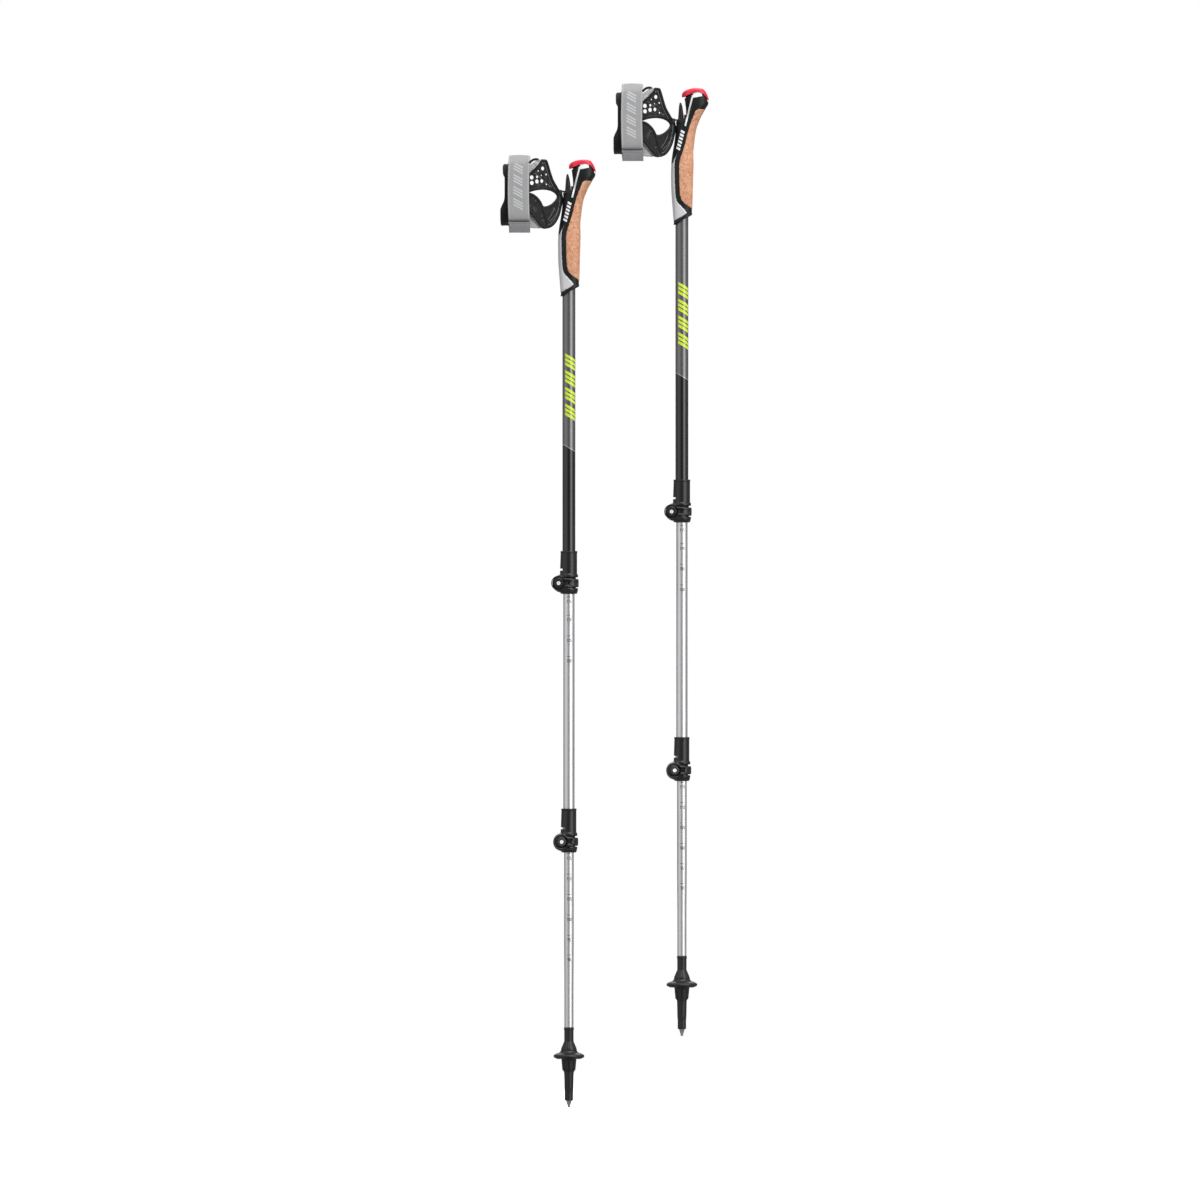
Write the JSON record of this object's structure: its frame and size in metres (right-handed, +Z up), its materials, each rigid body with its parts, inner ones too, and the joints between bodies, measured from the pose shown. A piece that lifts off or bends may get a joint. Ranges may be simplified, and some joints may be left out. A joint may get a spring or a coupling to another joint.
{
  "type": "trekking poles",
  "caption": "Pair of three-section telescoping trekking poles with cork grips, clip-in wrist straps, outside lever clamps, round baskets and hard tips.",
  "frame": {"origin": "centre of the flat end of the left pole's carbide tip, on the left pole's axis", "axes": "+Z up along both poles, +X from the left pole to the right pole and towards the palm side of the grips, straps on the -X side; the clamps' dials face -Y"},
  "size_m": [0.2556, 0.0574, 1.258],
  "materials": {
    "red_button": "moulded red plastic, satin",
    "grip_black": "soft-touch black rubber and plastic",
    "cork": "pressed natural cork, fine dark flecks",
    "grip_silver": "silver-grey moulded plastic, satin",
    "grip_white": "white moulded inlay",
    "strap_cord": "black braided cord with a moulded end",
    "strap_mesh": "black perforated padded mesh with bound edges",
    "strap_band": "grey woven hook-and-loop webbing with stitched edges",
    "upper_paint": "grey lacquer over black on aluminium, lime bars",
    "clamp_black": "black moulded plastic, satin",
    "steel": "turned steel",
    "anodised": "silver anodised aluminium, satin",
    "bush_nylon": "black nylon",
    "tip_black": "black moulded plastic",
    "carbide": "sintered carbide, grey"
  },
  "bodies": {
    "left_upper": {"left_grip_core": "grip_black", "left_cork_grip": "cork", "left_grip_panel": "grip_silver", "left_grip_accent": "grip_white", "left_fin_hook": "grip_black", "left_button_spring": "steel", "left_upper_tube": "upper_paint", "left_upper_clamp_body": "clamp_black", "left_upper_clamp_pin": "steel"},
    "left_button": {"left_release_button": "red_button", "left_button_pushrod": "steel"},
    "left_latch": {"left_strap_latch": "red_button"},
    "left_strap": {"left_strap_loop": "strap_cord", "left_strap_web": "strap_mesh", "left_wrist_band": "strap_band"},
    "left_upper_lever": {"left_upper_clamp_lever": "clamp_black"},
    "left_upper_tension": {"left_upper_clamp_dial": "clamp_black", "left_upper_clamp_screw": "steel"},
    "left_middle": {"left_middle_tube": "anodised", "left_middle_bush": "bush_nylon", "left_lower_clamp_body": "clamp_black", "left_lower_clamp_pin": "steel"},
    "left_lower_lever": {"left_lower_clamp_lever": "clamp_black"},
    "left_lower_tension": {"left_lower_clamp_dial": "clamp_black", "left_lower_clamp_screw": "steel"},
    "left_lower": {"left_lower_tube": "anodised", "left_lower_bush": "bush_nylon", "left_tip_shank": "tip_black", "left_carbide_tip": "carbide"},
    "left_basket": {"left_basket": "tip_black"},
    "right_upper": {"right_grip_core": "grip_black", "right_cork_grip": "cork", "right_grip_panel": "grip_silver", "right_grip_accent": "grip_white", "right_fin_hook": "grip_black", "right_button_spring": "steel", "right_upper_tube": "upper_paint", "right_upper_clamp_body": "clamp_black", "right_upper_clamp_pin": "steel"},
    "right_button": {"right_release_button": "red_button", "right_button_pushrod": "steel"},
    "right_latch": {"right_strap_latch": "red_button"},
    "right_strap": {"right_strap_loop": "strap_cord", "right_strap_web": "strap_mesh", "right_wrist_band": "strap_band"},
    "right_upper_lever": {"right_upper_clamp_lever": "clamp_black"},
    "right_upper_tension": {"right_upper_clamp_dial": "clamp_black", "right_upper_clamp_screw": "steel"},
    "right_middle": {"right_middle_tube": "anodised", "right_middle_bush": "bush_nylon", "right_lower_clamp_body": "clamp_black", "right_lower_clamp_pin": "steel"},
    "right_lower_lever": {"right_lower_clamp_lever": "clamp_black"},
    "right_lower_tension": {"right_lower_clamp_dial": "clamp_black", "right_lower_clamp_screw": "steel"},
    "right_lower": {"right_lower_tube": "anodised", "right_lower_bush": "bush_nylon", "right_tip_shank": "tip_black", "right_carbide_tip": "carbide"},
    "right_basket": {"right_basket": "tip_black"}
  },
  "joints": [
    {"name": "left_middle_slide", "type": "slide", "parent": "left_upper", "child": "left_middle", "axis": [0, 0, 1], "range_m": [-0.075, 0.262]},
    {"name": "left_lower_slide", "type": "slide", "parent": "left_middle", "child": "left_lower", "axis": [0, 0, 1], "range_m": [-0.075, 0.214]},
    {"name": "left_upper_lever_hinge", "type": "hinge", "parent": "left_upper", "child": "left_upper_lever", "pos_m": [-0.01265, 0.009, 0.644], "axis": [0, 0, 1], "range_deg": [0, 120]},
    {"name": "left_lower_lever_hinge", "type": "hinge", "parent": "left_middle", "child": "left_lower_lever", "pos_m": [-0.01348, 0.00591, 0.3264], "axis": [0, 0, 1], "range_deg": [0, 120]},
    {"name": "left_upper_tension_turn", "type": "hinge", "parent": "left_upper", "child": "left_upper_tension", "pos_m": [-0.01265, -0.007, 0.644], "axis": [0, -1, 0], "continuous": true},
    {"name": "left_lower_tension_turn", "type": "hinge", "parent": "left_middle", "child": "left_lower_tension", "pos_m": [-0.00961, -0.00961, 0.3264], "axis": [0.2419, -0.9703, 0], "continuous": true},
    {"name": "left_button_press", "type": "slide", "parent": "left_upper", "child": "left_button", "axis": [0, 0, -1], "range_m": [0, 0.002], "stiffness_N_per_m": 1200, "springref_m": -0.002, "deforming": ["left_button_spring"]},
    {"name": "left_latch_slide", "type": "slide", "parent": "left_upper", "child": "left_latch", "axis": [1, 0, 0], "range_m": [0, 0.002]},
    {"name": "left_strap_swing", "type": "hinge", "parent": "left_upper", "child": "left_strap", "pos_m": [0.0038, 0, 1.1252], "axis": [0, 1, 0], "range_deg": [0, 30]},
    {"name": "left_basket_turn", "type": "hinge", "parent": "left_lower", "child": "left_basket", "pos_m": [0, 0, 0.06], "axis": [0, 0, 1], "continuous": true},
    {"name": "right_pole_slide", "type": "slide", "parent": "left_upper", "child": "right_upper", "axis": [0, 0, 1], "range_m": [-0.0878, 0]},
    {"name": "right_middle_slide", "type": "slide", "parent": "right_upper", "child": "right_middle", "axis": [0, 0, 1], "range_m": [-0.075, 0.262]},
    {"name": "right_lower_slide", "type": "slide", "parent": "right_middle", "child": "right_lower", "axis": [0, 0, 1], "range_m": [-0.075, 0.214]},
    {"name": "right_upper_lever_hinge", "type": "hinge", "parent": "right_upper", "child": "right_upper_lever", "pos_m": [0.12615, 0.009, 0.7318], "axis": [0, 0, 1], "range_deg": [0, 120]},
    {"name": "right_lower_lever_hinge", "type": "hinge", "parent": "right_middle", "child": "right_lower_lever", "pos_m": [0.12532, 0.00591, 0.4142], "axis": [0, 0, 1], "range_deg": [0, 120]},
    {"name": "right_upper_tension_turn", "type": "hinge", "parent": "right_upper", "child": "right_upper_tension", "pos_m": [0.12615, -0.007, 0.7318], "axis": [0, -1, 0], "continuous": true},
    {"name": "right_lower_tension_turn", "type": "hinge", "parent": "right_middle", "child": "right_lower_tension", "pos_m": [0.12919, -0.00961, 0.4142], "axis": [0.2419, -0.9703, 0], "continuous": true},
    {"name": "right_button_press", "type": "slide", "parent": "right_upper", "child": "right_button", "axis": [0, 0, -1], "range_m": [0, 0.002], "stiffness_N_per_m": 1200, "springref_m": -0.002, "deforming": ["right_button_spring"]},
    {"name": "right_latch_slide", "type": "slide", "parent": "right_upper", "child": "right_latch", "axis": [1, 0, 0], "range_m": [0, 0.002]},
    {"name": "right_strap_swing", "type": "hinge", "parent": "right_upper", "child": "right_strap", "pos_m": [0.1426, 0, 1.213], "axis": [0, 1, 0], "range_deg": [0, 30]},
    {"name": "right_basket_turn", "type": "hinge", "parent": "right_lower", "child": "right_basket", "pos_m": [0.1388, 0, 0.1478], "axis": [0, 0, 1], "continuous": true}
  ],
  "couplings": [
    {"joint": "left_latch_slide", "follows": "left_button_press", "ratio": 1},
    {"joint": "right_latch_slide", "follows": "right_button_press", "ratio": 1}
  ]
}
